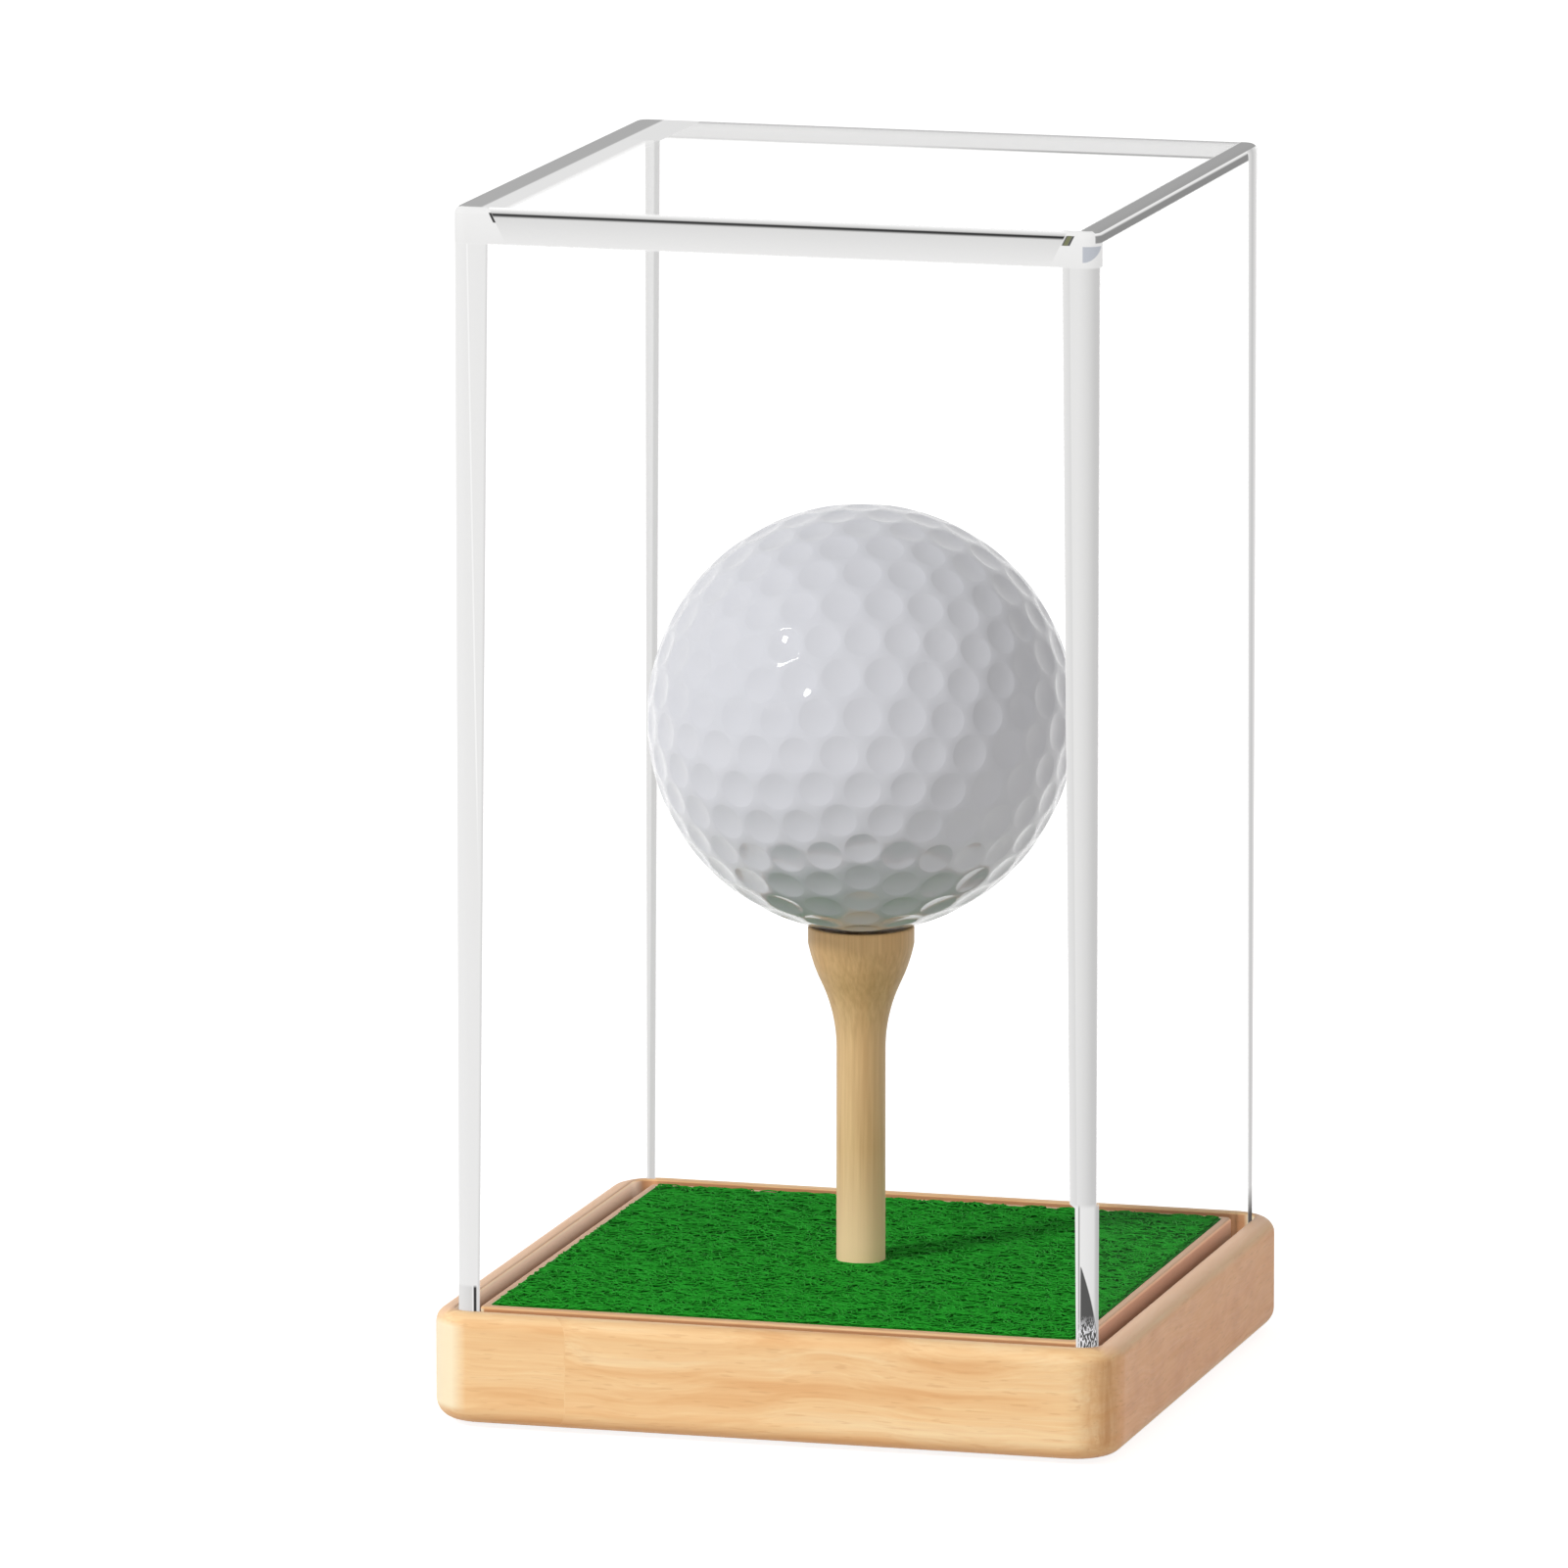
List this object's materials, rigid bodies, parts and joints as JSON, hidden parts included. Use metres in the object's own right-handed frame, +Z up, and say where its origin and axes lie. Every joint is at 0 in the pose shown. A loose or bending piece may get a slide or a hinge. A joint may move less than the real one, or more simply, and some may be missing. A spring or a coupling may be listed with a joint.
{
  "type": "golf ball display case",
  "caption": "Square display case for one golf ball: a grooved wooden base with a turf mat and a short tee, and a clear moulded cover that lifts off upwards.",
  "frame": {"origin": "middle of the case on the surface that it stands on, under the four pads", "axes": "+Z up, +X along the front to the right, +Y from the front to the back"},
  "size_m": [0.07, 0.07, 0.1212],
  "materials": {
    "beech": "satin clear lacquer over light beech",
    "pad_rubber": "matt",
    "tape": "matt",
    "mat_backing": "matt weave",
    "mat_pile": "short fuzzy pile",
    "tee_wood": "satin",
    "ball_core": "matt",
    "ball_white": "gloss",
    "clear_acrylic": "clear, polished"
  },
  "bodies": {
    "base": {"wood_base": "beech", "pad_front_left": "pad_rubber", "pad_front_right": "pad_rubber", "pad_back_left": "pad_rubber", "pad_back_right": "pad_rubber", "turf_tape": "tape", "turf_backing": "mat_backing", "turf_pile": "mat_pile", "tee": "tee_wood"},
    "ball": {"ball_core": "ball_core", "ball_skin": "ball_white"},
    "cover": {"clear_cover": "clear_acrylic"}
  },
  "joints": [
    {"name": "cover_lift", "type": "slide", "parent": "base", "child": "cover", "axis": [0, 0, 1], "range_m": [0, 0.12]},
    {"name": "ball_lift", "type": "slide", "parent": "base", "child": "ball", "axis": [0, 0, 1], "range_m": [0, 0.029]}
  ]
}
